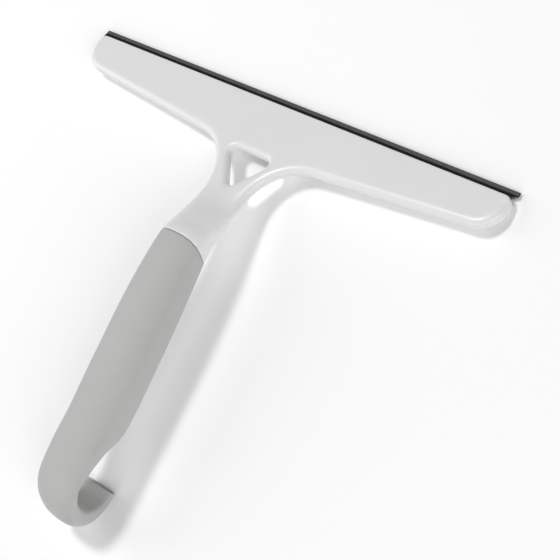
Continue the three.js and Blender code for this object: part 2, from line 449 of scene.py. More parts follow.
def tube_faces(rings: int, columns: int, caps: bool = True) -> list[tuple]:
    """Faces of a tube of rings.

    Args:
        rings: how many rings.
        columns: points in each.
        caps: whether the two ends are closed.

    Returns:
        The faces.
    """
    faces = []
    for r in range(rings - 1):
        for c in range(columns):
            d = (c + 1) % columns
            base = r * columns
            faces.append((base + c, base + d, base + columns + d, base + columns + c))
    if caps:
        last = (rings - 1) * columns
        faces.append(tuple(range(columns - 1, -1, -1)))
        faces.append(tuple(range(last, last + columns)))
    return faces


class Carving(Enum):
    """How a tool changes a body."""

    CUT = "DIFFERENCE"
    KEEP = "INTERSECT"


def carve(body: bpy.types.Object, tool: bpy.types.Object, way: Carving) -> None:
    """Cuts or trims a body with a tool, which is then removed.

    Args:
        body: the object that changes.
        tool: a closed object.
        way: cut the tool away, or keep what is inside it.
    """
    modifier = body.modifiers.new("carve", "BOOLEAN")
    modifier.operation = way.value
    modifier.solver = "MANIFOLD"
    modifier.object = tool
    bake(body)
    bpy.data.objects.remove(tool)


def bake(piece: bpy.types.Object) -> None:
    """Makes a piece's modifiers part of its mesh. Args: piece: the object."""
    graph = bpy.context.evaluated_depsgraph_get()
    graph.update()
    data = bpy.data.meshes.new_from_object(piece.evaluated_get(graph))
    piece.modifiers.clear()
    piece.data = data


def copy_of(piece: bpy.types.Object, name: str) -> bpy.types.Object:
    """A linked copy of an object with its own mesh. Args: piece, name. Returns: it."""
    return placed(name, piece.data.copy())


def settle(
    piece: bpy.types.Object, axes: HeadAxes, finish: Finish, crease: float = 38.0
) -> bpy.types.Object:
    """Moves a finished piece to its resting place, smooths and, if need be, paints it.

    Args:
        piece: the object, drawn in the head's axes.
        axes: where the head's axes are.
        finish: what it is made of.
        crease: degrees above which an edge stays sharp.

    Returns:
        The same object.
    """
    data = piece.data
    data.transform(axes.matrix())
    data.shade_smooth()
    data.set_sharp_from_angle(angle=math.radians(crease))
    if not any(data.materials):
        data.materials.clear()
        data.materials.append(MATERIALS[finish.name])
    log.info("%s: %d faces", piece.name, len(data.polygons))
    return piece


MATERIALS: dict[str, bpy.types.Material] = {}


# ---- Curves -----------------------------------------------------------------------


def rounded(corners: Sequence[tuple], closed: bool, chord: float) -> np.ndarray:
    """A path whose corners (x, y, radius) are rounded by arcs.

    Args:
        corners: the corners; on an open path the first and last are its ends.
        closed: whether the path closes on itself.
        chord: the longest step along it, in millimetres.

    Returns:
        (n, 2) points, evenly enough spaced.
    """
    count = len(corners)
    runs = []
    for i, (x, y, radius) in enumerate(corners):
        here = np.array((x, y), float)
        if not closed and i in (0, count - 1):
            runs.append([here])
            continue
        last = np.array(corners[i - 1][:2], float)
        ahead = np.array(corners[(i + 1) % count][:2], float)
        to_last = (last - here) / np.linalg.norm(last - here)
        to_next = (ahead - here) / np.linalg.norm(ahead - here)
        half = math.acos(float(np.clip(to_last @ to_next, -1, 1))) / 2
        start = here + to_last * radius / math.tan(half)
        middle = (to_last + to_next) / np.linalg.norm(to_last + to_next)
        centre = here + middle * radius / math.sin(half)
        cross = to_next[0] * to_last[1] - to_next[1] * to_last[0]
        turn = math.copysign(math.pi - 2 * half, cross)
        by_angle = math.ceil(abs(turn) / ARC_STEP)
        steps = max(4, by_angle, math.ceil(abs(turn) * radius / chord))
        arc = []
        for step in range(steps + 1):
            c, s = math.cos(turn * step / steps), math.sin(turn * step / steps)
            arc.append(centre + np.array(((c, -s), (s, c))) @ (start - centre))
        runs.append(arc)
    path = []
    for i, run in enumerate(runs):
        path.extend(run)
        if i + 1 < count or closed:
            target = runs[(i + 1) % count][0]
            gap = target - run[-1]
            pieces = math.ceil(float(np.linalg.norm(gap)) / chord)
            path.extend(run[-1] + gap * k / pieces for k in range(1, pieces))
    return np.array(path)


def inward_normals(path: np.ndarray, closed: bool) -> np.ndarray:
    """Unit normals to the left of a path. Args: path, closed. Returns: (n, 2)."""
    # weigh both neighbours by direction only, so uneven steps don't turn the normal
    ahead = np.roll(path, -1, 0) - path
    behind = path - np.roll(path, 1, 0)
    if not closed:
        ahead[-1] = behind[-1]
        behind[0] = ahead[0]
    ahead /= np.linalg.norm(ahead, axis=1, keepdims=True)
    behind /= np.linalg.norm(behind, axis=1, keepdims=True)
    along = ahead + behind
    along /= np.linalg.norm(along, axis=1, keepdims=True)
    return np.column_stack([-along[:, 1], along[:, 0]])


def distance_to(path: np.ndarray, points: np.ndarray, closed: bool) -> np.ndarray:
    """Each point's distance to a path. Args: path, points, closed. Returns: (n,)."""
    start = path if closed else path[:-1]
    end = np.roll(path, -1, 0) if closed else path[1:]
    run = end - start
    lengths = (run * run).sum(1)
    best = np.full(len(points), np.inf)
    for low in range(0, len(points), 500):
        offset = points[low : low + 500, None] - start[None]
        share = np.clip((offset * run).sum(2) / lengths, 0, 1)
        gap = offset - share[..., None] * run
        best[low : low + 500] = np.sqrt((gap * gap).sum(2)).min(1)
    return best


def inside(path: np.ndarray, points: np.ndarray) -> np.ndarray:
    """Which points a closed path goes round. Args: path, points. Returns: (n,) bools."""
    a, b = path, np.roll(path, -1, 0)
    y = points[:, 1:2]
    crosses = (a[:, 1] > y) != (b[:, 1] > y)
    rise = np.where(b[:, 1] == a[:, 1], 1, b[:, 1] - a[:, 1])
    x = a[:, 0] + (y - a[:, 1]) / rise * (b[:, 0] - a[:, 0])
    return (crosses & (points[:, 0:1] < x)).sum(1) % 2 == 1


def smooth_step(low: float, high: float, value: np.ndarray) -> np.ndarray:
    """0 at low, 1 at high, eased at both. Args: low, high, value. Returns: the share."""
    share = np.clip((np.asarray(value) - low) / (high - low), 0, 1)
    return share * share * (3 - 2 * share)


def crown(share: np.ndarray, power: np.ndarray | float) -> np.ndarray:
    """Height of a rounded edge, 0 at the rim and 1 inside. Args: share, power."""
    share = np.clip(share, 0, 1)
    return (1 - (1 - share) ** power) ** (1 / power)


# ---- Handle -----------------------------------------------------------------------


@dataclass
class HandleRun:
    """The run of sections from the neck down the grip and round the hook."""

    lean: float = 15.0
    grip_top: float = 77.0
    grip_rise: float = -0.5
    grip_length: float = 105.6
    top_depth: float = 18.1
    belly_depth: float = 22.0
    width: float = 25.0
    neck_half: float = 10.9
    neck_start: float = -47.9
    neck_blend: float = 13.0  # length over which the flat yoke turns into the neck
    head_thickness: float = 5.2
    collar_line: float = 78.0
    collar_lean: float = 12.0
    collar_search: tuple = (1.2, 4.2)  # sections between which the edge is looked for
    collar_tries: int = 301
    bore: float = 19.4
    hook_top_wall: float = 6.8
    hook_tip_wall: float = 4.8
    hook_heel: float = 3.7
    hook_width: float = 22.4
    hook_tip_width: float = 18.4
    nose: float = 24.0
    nose_share: float = 0.3
    nose_turn: float = 87.0
    power: float = 2.6
    bore_crispness: float = 0.5
    shaping: np.ndarray = field(init=False)

    def __post_init__(self) -> None:
        """Works out the shaping sections once."""
        self.shaping = self._sections()

    def grip_point(self, along: float, out: float) -> np.ndarray:
        """A point of the grip's own frame. Args: along, out. Returns: its y and z."""
        c, s = math.cos(math.radians(self.lean)), math.sin(math.radians(self.lean))
        return np.array(
            (
                -self.grip_top - along * c - out * s,
                self.grip_rise - along * s + out * c,
            )
        )

    def _sections(self) -> np.ndarray:
        """Rows of front y, z, back y, z and half width, from the neck to the tip."""
        run = self.grip_top + self.neck_start
        top, belly, wide = self.top_depth / 2, self.belly_depth / 2, self.width / 2
        under = -self.head_thickness
        rows = []
        for y, front, back, half in (
            (self.neck_start, -0.3, 0.3 + under, self.neck_half),
            (self.neck_start - 0.31 * run, 1.6, under - 0.4, self.neck_half),
            (self.neck_start - 0.66 * run, 5.4, under - 2, self.neck_half),
        ):
            rows.append((y, front, y, back, half))
        for share, front, back, half in (
            (0, top, top, self.neck_half),
            (0.25, belly, belly - 0.2, wide - 0.5),
            (0.55, belly - 0.9, belly + 1.1, wide),
            (0.76, belly - 1.6, belly + 1.2, wide - 0.3),
            (0.87, belly - 2.4, belly - 6, wide - 0.6),
        ):
            along = share * self.grip_length
            ends = (*self.grip_point(along, front), *self.grip_point(along, -back))
            rows.append((*ends, half))
        rows.extend(self._hook_section(sixth / 6) for sixth in range(7))
        return np.array(rows)

    def _hook_section(self, turned: float) -> tuple:
        """The hook's section at a share of its turn. Args: turned. Returns: it."""
        angle = math.pi * (0.5 - turned)
        radius = self.bore / 2
        even = self.hook_top_wall + (self.hook_tip_wall - self.hook_top_wall) * turned
        outside = radius + even + self.hook_heel * math.sin(math.pi * turned**1.2) ** 4
        along, out = math.cos(angle), math.sin(angle)
        length = self.grip_length
        front = self.grip_point(length + outside * along, -radius + outside * out)
        back = self.grip_point(length + radius * along, -radius + radius * out)
        wide, narrow = self.hook_width / 2, self.hook_tip_width / 2
        return (*front, *back, wide + (narrow - wide) * turned)

    @property
    def last(self) -> float:
        """The place, counted in sections, of the last section."""
        return len(self.shaping) - 1.0

    def rails(self, place: np.ndarray, inset: float) -> tuple:
        """Smooth front and back points and half widths.

        Args:
            place: where along the run, counted in sections.
            inset: how far inside the surface.

        Returns:
            Fronts (n, 2), backs (n, 2) and half widths (n,).
        """
        rows = self.shaping
        padded = np.vstack([2 * rows[0] - rows[1], rows, 2 * rows[-1] - rows[-2]])
        low = np.clip(np.floor(place), 0, len(rows) - 2).astype(int)
        t = (np.asarray(place) - low)[:, None]
        p0, p1, p2, p3 = (padded[low + k] for k in range(4))
        m1, m2 = (p2 - p0) / 2, (p3 - p1) / 2
        found = (
            (2 * p1 - 2 * p2 + m1 + m2) * t**3
            + (-3 * p1 + 3 * p2 - 2 * m1 - m2) * t**2
            + m1 * t
            + p1
        )
        front, back, half = found[:, 0:2], found[:, 2:4], found[:, 4]
        across = back - front
        across *= inset / np.linalg.norm(across, axis=1, keepdims=True)
        return front + across, back - across, half - inset

    def surface(
        self, place: np.ndarray, side: np.ndarray, share: np.ndarray, inset: float
    ) -> np.ndarray:
        """Points on the skin, or inside it.

        Args:
            place: where along the run, for each point.
            side: -1 to 1 across.
            share: 0 at the back, 1 at the front.
            inset: how far inside the surface.

        Returns:
            (n, 3) points.
        """
        front, back, half = self.rails(place, inset)
        side, share = self.squared(place, side, share)
        middle = back + (front - back) * share[:, None]
        return np.column_stack([side * half, middle])

    def squared(
        self, place: np.ndarray, side: np.ndarray, share: np.ndarray
    ) -> tuple[np.ndarray, np.ndarray]:
        """Makes the bore's edges crisper than the rest of a section.

        Args:
            place: where along the run, for each point.
            side: -1 to 1 across.
            share: 0 at the back, 1 at the front.

        Returns:
            The changed side and share.
        """
        into_hook = smooth_step(self.last - 8.0, self.last - 5.0, place)
        power = np.where(share < 0.5, 1 - self.bore_crispness * into_hook, 1.0)
        turned = 2 * share - 1
        turned = np.sign(turned) * np.abs(turned) ** power
        return np.sign(side) * np.abs(side) ** power, (1 + turned) / 2

    def collar_crossing(
        self, side: np.ndarray, share: np.ndarray, inset: float, shift: float
    ) -> np.ndarray:
        """Where each column of the skin meets the grip's sloping upper edge.

        Args:
            side: the columns' places across.
            share: their places from back to front.
            inset: how far inside the surface.
            shift: how far below the edge.

        Returns:
            The place along the run for each column.
        """
        lean = math.radians(self.collar_lean)
        tries = np.linspace(*self.collar_search, self.collar_tries)
        ones = np.ones_like(tries)
        found = np.empty(len(side))
        for i in range(len(side)):
            points = self.surface(tries, side[i] * ones, share[i] * ones, inset)
            down = -(points[:, 1] + self.collar_line) * math.cos(lean)
            found[i] = np.interp(shift, down + points[:, 2] * math.sin(lean), tries)
        return found

    def nose_rings(
        self, side: np.ndarray, share: np.ndarray, inset: float, steps: int
    ) -> list[np.ndarray]:
        """Rings that close the hook's tip.

        Args:
            side: the columns' places across.
            share: their places from back to front.
            inset: how far inside the surface.
            steps: how many rings.

        Returns:
            The rings, the last nearly shut.
        """
        front, back, half = self.rails(np.array([self.last]), inset)
        front, back, half = front[0], back[0], half[0]
        pivot = self.grip_point(self.grip_length, -self.bore / 2)
        sweep = math.radians(self.nose) - inset / (self.bore / 2)
        side, share = self.squared(np.full(len(side), self.last), side, share)
        rings = []
        for step in range(1, steps + 1):
            lift = math.radians(self.nose_turn) * step / steps
            reach = (front - back) * math.cos(lift) / 2
            turn = -sweep * math.sin(lift)
            spin = np.array(
                ((math.cos(turn), -math.sin(turn)), (math.sin(turn), math.cos(turn)))
            )
            middle = (front + back) / 2
            high = pivot + spin @ (middle + reach - pivot)
            low = pivot + spin @ (middle - reach - pivot)
            width = half * (self.nose_share + (1 - self.nose_share) * math.cos(lift))
            points = low + (high - low) * share[:, None]
            rings.append(np.column_stack([side * width, points]))
        return rings

    def skin(
        self,
        start: np.ndarray,
        side: np.ndarray,
        share: np.ndarray,
        inset: float,
        steps: int,
    ) -> list[np.ndarray]:
        """Rings from a sloping start down to the hook's tip.

        Args:
            start: where each column starts.
            side: the columns' places across.
            share: their places from back to front.
            inset: how far inside the surface.
            steps: rings in each span between shaping sections.

        Returns:
            The rings, after the start itself.
        """
        even = 4.0  # from this section on, each ring lies in one plane
        rings = []
        for step in range(1, steps + 1):
            place = start + (even - start) * step / steps
            rings.append(self.surface(place, side, share, inset))
        for step in range(1, int((self.last - even) * steps) + 1):
            place = np.full(len(side), even + step / steps)
            rings.append(self.surface(place, side, share, inset))
        return rings + self.nose_rings(side, share, inset, max(4, steps // 2))

    def columns(self, count: int) -> tuple[np.ndarray, np.ndarray]:
        """Evenly turned columns round a section. Args: count. Returns: side, share."""
        angle = np.arange(count) / count * 2 * math.pi

        def soften(value: np.ndarray) -> np.ndarray:
            """Squares a circle off a little. Args: value. Returns: the softened value."""
            return np.sign(value) * np.abs(value) ** (2 / self.power)

        return soften(np.cos(angle)), (1 + soften(np.sin(angle))) / 2


@dataclass
class GripSleeve:
    """The soft grip that covers the handle and the hook."""

    run: HandleRun
    wall: float = 1.5
    edge_radius: float = 0.5
    around: int = 112
    steps: int = 16

    def build(self) -> bpy.types.Object:
        """Builds the sleeve as one thick skin. Returns: the object."""
        run = self.run
        side, share = run.columns(self.around)
        outer = []
        for step in range(6):
            turn = math.radians(90 * step / 5)
            inset = self.edge_radius * (1 - math.sin(turn))
            shift = self.edge_radius * (1 - math.cos(turn))
            place = run.collar_crossing(side, share, inset, shift)
            outer.append(run.surface(place, side, share, inset))
        outer += run.skin(place, side, share, 0.0, self.steps)
        place = run.collar_crossing(side, share, self.wall, 0.0)
        inner = [run.surface(place, side, share, self.wall)]
        inner += run.skin(place, side, share, self.wall, self.steps // 4)
        rings = inner[::-1] + outer
        return mesh_object(
            "soft_grip", np.vstack(rings), tube_faces(len(rings), self.around)
        )


# ---- Head -------------------------------------------------------------------------


@dataclass
class HeadMoulding:
    """The white moulding: head plate, yoke with its window, neck and handle core."""

    run: HandleRun
    width: float = 235.0
    end_height: float = 15.9
    thickness: float = 5.2
    lower_slope: float = 4.9
    mouth: float = -3.7
    mouth_corner: float = 3.6
    lower_corner: float = 12.0
    yoke_radius: float = 23.0
    crown_width: float = 3.2
    crown_depth: float = 2.1
    crown_power: float = 2.0
    mouth_edge: float = 0.6
    window_width: float = 27.4
    window_top: float = 28.2
    window_height: float = 19.0
    window_corner: float = 3.1
    window_crown_width: float = 2.5
    window_crown_depth: float = 1.8
    jaw_wall: float = 1.5
    seat_height: float = 12.3
    blade_plane: float = -2.55
    bead_line: float = -10.4
    groove_radius: float = 1.75
    end_wall: float = 3.0
    lip_room: float = 1.1
    land_inset: float = 1.3
    land_depth: float = 0.2
    core_depth: float = 1.8
    gap: float = 0.3
    neck_edge: float = 0.35  # radius of the neck's rim at the grip
    neck_steps: int = 22
    edge_rings: int = 12

    @property
    def neck_line(self) -> float:
        """Height at which the flat yoke hands over to the round neck."""
        return float(self.run.shaping[1, 0])

    @property
    def wall_inside(self) -> float:
        """Where the blade's channel ends, at the wall that closes its right end."""
        return self.width / 2 - self.end_wall

    def outline(self) -> np.ndarray:
        """The open path round the head, from the neck's right side to its left."""
        half, neck = self.width / 2, self.run.neck_half
        foot = self.mouth - self.end_height
        drop = (half - neck) * math.tan(math.radians(self.lower_slope))
        right = [
            (neck, self.neck_line, 0),
            (neck, foot - drop, self.yoke_radius),
            (half, foot, self.lower_corner),
            (half, self.mouth, self.mouth_corner),
        ]
        left = [(-x, y, r) for x, y, r in reversed(right)]
        return rounded(right + left, False, 1.4)

    def window(self) -> np.ndarray:
        """The closed path round the yoke's window, with the moulding on its left."""
        half, top = self.window_width / 2, -self.window_top
        corners = [
            (-half, top, self.window_corner),
            (half, top, self.window_corner),
            (0, top - self.window_height, self.window_corner),
        ]
        return rounded(corners, True, 0.7)

    def faces_at(self, y: np.ndarray) -> tuple[np.ndarray, np.ndarray]:
        """Heights of the moulding's front and back middle. Args: y. Returns: both."""
        run = self.run.shaping
        flat = self.neck_line + self.run.neck_blend
        slope = (run[2] - run[0]) / (run[2, 0] - run[0, 0])
        reach = self.neck_line - flat
        t = np.clip((y - flat) / reach, 0, 1)
        ease, pull = 3 * t**2 - 2 * t**3, (t**3 - t**2) * reach
        front = run[1, 1] * ease + slope[1] * pull
        under = -self.thickness
        back = under + (run[1, 3] - under) * ease + slope[3] * pull
        return front, back

    def heights(
        self, points: np.ndarray, rim: np.ndarray, hole: np.ndarray, mouth: np.ndarray
    ) -> tuple[np.ndarray, np.ndarray]:
        """Front and back surface heights.

        Args:
            points: (n, 2) places.
            rim: their distances to the outline.
            hole: their distances to the window.
            mouth: 1 on the jaw's mouth and 0 away from it.

        Returns:
            Front and back heights.
        """
        y = points[:, 1]
        front, back = self.faces_at(y)
        flat = self.neck_line + self.run.neck_blend
        round_share = smooth_step(flat, self.neck_line, y)
        middle = (front + back) / 2
        wall_front = -self.crown_depth + (self.crown_depth - self.mouth_edge) * mouth
        wall_front = wall_front + (middle - wall_front) * round_share
        wall_back = self.crown_depth - self.thickness
        wall_back = wall_back + (middle - wall_back) * round_share
        soft = self.crown_width + (self.run.neck_half - self.crown_width) * round_share
        soft = soft + (self.mouth_edge - soft) * mouth
        power = self.crown_power + (self.run.power - self.crown_power) * round_share
        fall = 1 - crown(rim / soft, power)
        opened = 1 - crown(hole / self.window_crown_width, self.crown_power)
        opened = opened * self.window_crown_depth
        front = front - ((fall * (front - wall_front)) ** 4 + opened**4) ** 0.25
        back = back + ((fall * (wall_back - back)) ** 4 + opened**4) ** 0.25
        return front, back

    def blank(self) -> bpy.types.Object:
        """The moulding before the blade's seat is cut. Returns: the object."""
        rim, hole = self.outline(), self.window()
        steps = np.arange(self.edge_rings + 1) / self.edge_rings
        shares = 1 - np.cos(steps * math.pi / 2)
        corner = self.mouth - self.mouth_corner
        mouth = smooth_step(corner, self.mouth, rim[:, 1])
        points, faces = [], []
        total = 0
        rim_rings, hole_rings = [], []
        for path, closed, rings in ((rim, False, rim_rings), (hole, True, hole_rings)):
            normals = inward_normals(path, closed)
            count = len(path)
            layers = {1: [], -1: []}
            wide = self.window_crown_width if closed else self.crown_width
            for offset in shares * wide:
                ring = path + normals * offset
                rings.append(ring)
                exact = np.full(count, offset)
                if closed:
                    to_rim = distance_to(rim, ring, False)
                    front, back = self.heights(ring, to_rim, exact, np.zeros(count))
                else:
                    to_hole = distance_to(hole, ring, True)
                    front, back = self.heights(ring, exact, to_hole, mouth)
                for face, height in ((1, front), (-1, back)):
                    layers[face].append(total)
                    points.append(np.column_stack([ring, height]))
                    total += count
            pairs = [
                (layers[face][k], layers[face][k + 1])
                for face in (1, -1)
                for k in range(self.edge_rings)
            ]
            pairs.append((layers[1][0], layers[-1][0]))
            for low, high in pairs:
                for i in range(count if closed else count - 1):
                    j = (i + 1) % count
                    faces.append((low + i, low + j, high + j, high + i))
        inner, shut = rim_rings[-1], hole_rings[-1]
        flat, triangles = self._fill(inner, shut)
        to_rim, to_hole = distance_to(rim, flat, False), distance_to(hole, flat, True)
        for height in self.heights(flat, to_rim, to_hole, np.zeros(len(flat))):
            points.append(np.column_stack([flat, height]))
            faces.extend(tuple(total + v for v in t) for t in triangles)
            total += len(flat)
        columns = self._neck_columns(shares * self.crown_width, inner)
        rings = self._handle_rings(columns)
        points.append(np.vstack(rings))
        sides = tube_faces(len(rings), len(columns))
        kept = [face for face in sides if self._joins(face, columns)]
        faces.extend(tuple(total + v for v in face) for face in kept)
        return mesh_object("head_moulding", np.vstack(points), faces)

    @staticmethod
    def _joins(face: tuple, columns: np.ndarray) -> bool:
        """Whether a face of the handle is kept: all but the cap inside the neck."""
        return not (len(face) > 4 and face[0] == len(columns) - 1)

    def _foot_row(self, inner: np.ndarray) -> np.ndarray:
        """Places across the neck line between the two inner rings. Args: inner."""
        edge = inner[0, 0]
        return np.linspace(edge, -edge, 17)[1:-1]

    def _fill(self, inner: np.ndarray, hole: np.ndarray) -> tuple[np.ndarray, list]:
        """Triangles over the face inside the crowned edges.

        Args:
            inner: the innermost ring of the outline, open at the neck.
            hole: the innermost ring of the window.

        Returns:
            (n, 2) points and the triangles.
        """
        foot = [(x, self.neck_line) for x in self._foot_row(inner)]
        border = np.vstack([inner, np.array(foot[::-1])])
        half = self.width / 2
        coarse = [
            (x, y)
            for x in np.arange(-half, half, 5.0)
            for y in np.arange(-44.0, self.mouth, 4.0)
        ]
        fine = [
            (x, y)
            for x in np.arange(-24.0, 24.1, 1.0)
            for y in np.arange(self.neck_line + 1.0, -41.0, 1.0)
        ]
        spots = np.array(coarse + fine)
        keep = inside(border, spots) & ~inside(hole, spots)
        keep &= distance_to(border, spots, True) > 0.6
        keep &= distance_to(hole, spots, True) > 0.6
        everything = np.vstack([border, hole, spots[keep]])
        edges = [(i, (i + 1) % len(border)) for i in range(len(border))]
        start = len(border)
        edges += [(start + i, start + (i + 1) % len(hole)) for i in range(len(hole))]
        places = [Vector(p) for p in everything]
        found = delaunay_2d_cdt(places, edges, [], 1, 1e-7, False)
        flat = np.array([tuple(p) for p in found[0]])
        triangles = [tuple(t) for t in found[2]]
        centres = np.array([flat[list(t)].mean(0) for t in triangles])
        solid = inside(border, centres) & ~inside(hole, centres)
        return flat, [t for t, kept in zip(triangles, solid) if kept]

    def _neck_columns(self, offsets: np.ndarray, inner: np.ndarray) -> np.ndarray:
        """Side and share of the points round the neck line, from its right side.

        Args:
            offsets: the edge rings' distances from the outline.
            inner: the innermost ring.

        Returns:
            (n, 2) rows of side and share.
        """
        neck, power = self.run.neck_half, self.run.power
        right = neck - offsets
        across = np.concatenate([right, self._foot_row(inner), -right[::-1]]) / neck
        rise = (1 - np.minimum(np.abs(across), 1) ** power) ** (1 / power)
        front = np.column_stack([across, (1 + rise) / 2])
        back = np.column_stack([across, (1 - rise) / 2])[::-1]
        return np.vstack([front, back[1:-1]])

    def _handle_rings(self, columns: np.ndarray) -> list[np.ndarray]:
        """Rings of the neck, its rim at the grip, and the core inside the grip.

        Args:
            columns: side and share of each column.

        Returns:
            The rings, from the neck line down.
        """
        run = self.run
        side, share = columns[:, 0], columns[:, 1]
        lip = self.neck_edge
        last = run.collar_crossing(side, share, 0.0, -self.gap - lip)
        rings = [
            run.surface(1 + (last - 1) * step / self.neck_steps, side, share, 0.0)
            for step in range(self.neck_steps + 1)
        ]
        for step in range(1, 5):
            turn = math.radians(90 * step / 4)
            inset = lip * (1 - math.cos(turn))
            shift = -self.gap - lip * (1 - math.sin(turn))
            place = run.collar_crossing(side, share, inset, shift)
            rings.append(run.surface(place, side, share, inset))
        place = run.collar_crossing(side, share, self.core_depth, -self.gap)
        rings.append(run.surface(place, side, share, self.core_depth))
        return rings + run.skin(place, side, share, self.core_depth, 4)

    def seat(self, name: str, foot: float, right: float) -> bpy.types.Object:
        """A tool that cuts behind the front jaw, and eases the edges it leaves.

        Args:
            name: the tool's name.
            foot: how far down it cuts.
            right: where it ends; its left end is beyond the head.

        Returns:
            The object.
        """
        wall, ease = -self.jaw_wall, 0.3
        arc = [
            (self.mouth - ease * (1 - math.cos(a)), wall + ease * (1 - math.sin(a)))
            for a in np.radians((0, 22.5, 45, 67.5, 90))
        ]
        back = -self.thickness
        outline = [
            (self.mouth + 20, wall + ease),
            *arc,
            (foot, wall),
            (foot, back + ease),
            (foot - 0.1, back + 0.1),
            (foot - ease, back),
            (foot - ease, back - 20),
            (self.mouth + 20, back - 20),
        ]
        return bar(name, outline, -self.width, right)

    def below_land(self, tilt: float) -> bpy.types.Object:
        """The tool that cuts the flat the head rests on. Args: tilt. Returns: it."""
        rise = math.tan(tilt)
        foot = self.mouth - self.land_inset - self.land_depth / rise
        far, under = foot + self.thickness, -self.thickness
        outline = [(foot, under), (foot, under - 5), (far, under - 5)]
        outline.append((far, under + rise * self.thickness))
        return bar("land_tool", outline, -self.width, self.width)

    def groove(self) -> bpy.types.Object:
        """The round tool that cuts the bead's groove. Returns: the object."""
        turns = np.linspace(0, 2 * math.pi, 40, endpoint=False)
        outline = [
            (
                self.bead_line + self.groove_radius * math.cos(a),
                self.blade_plane + self.groove_radius * math.sin(a),
            )
            for a in turns
        ]
        return bar("groove_tool", outline, -self.width, self.wall_inside)

    def build(self, tilt: float) -> tuple[bpy.types.Object, bpy.types.Object]:
        """Builds the moulding.

        Args:
            tilt: how far the head is tilted when it rests, in radians.

        Returns:
            The moulding, and a copy without its blade seat.
        """
        moulding = self.blank()
        carve(moulding, self.below_land(tilt), Carving.CUT)
        uncut = copy_of(moulding, "uncut_moulding")
        foot = self.mouth - self.seat_height
        carve(moulding, self.seat("seat_tool", foot, self.wall_inside), Carving.CUT)
        room = self.mouth - self.lip_room
        carve(moulding, self.seat("lip_room_tool", room, self.width), Carving.CUT)
        carve(moulding, self.groove(), Carving.CUT)
        return moulding, uncut


@dataclass
class ClampStrip:
    """The strip that closes the blade's channel from behind."""

    head: HeadMoulding
    tilt: float
    height: float = 12.0
    rib: float = 3.1
    web_back: float = -3.6
    ease: float = 0.25

    def build(self, uncut: bpy.types.Object) -> bpy.types.Object:
        """Builds the strip.

        Args:
            uncut: the uncut moulding, whose outer shape the strip shares.

        Returns:
            The object.
        """
        head = self.head
        top, foot = head.mouth - head.gap / 2, head.mouth - self.height
        seat = -head.jaw_wall - head.gap
        back = -head.thickness
        land = back + head.land_depth
        land_y = head.mouth - head.land_inset
        land_top = land + (top - land_y) * math.tan(self.tilt)
        land_foot = land_y - head.land_depth / math.tan(self.tilt)
        e = self.ease
        outline = [
            (top - e, self.web_back),
            (foot + self.rib, self.web_back),
            (foot + self.rib, seat),
            (foot + e, seat),
            (foot, seat - e),
            (foot, back + e),
            (foot + 0.3 * e, back + 0.3 * e),
            (foot + e, back),
            (land_foot, back),
            (top - e, land_top - 0.02),
            (top, land_top + e),
            (top, self.web_back - e),
        ]
        strip = bar("clamp_strip", outline, -head.width, head.wall_inside - head.gap)
        carve(strip, head.groove(), Carving.CUT)
        carve(strip, uncut, Carving.KEEP)
        return strip


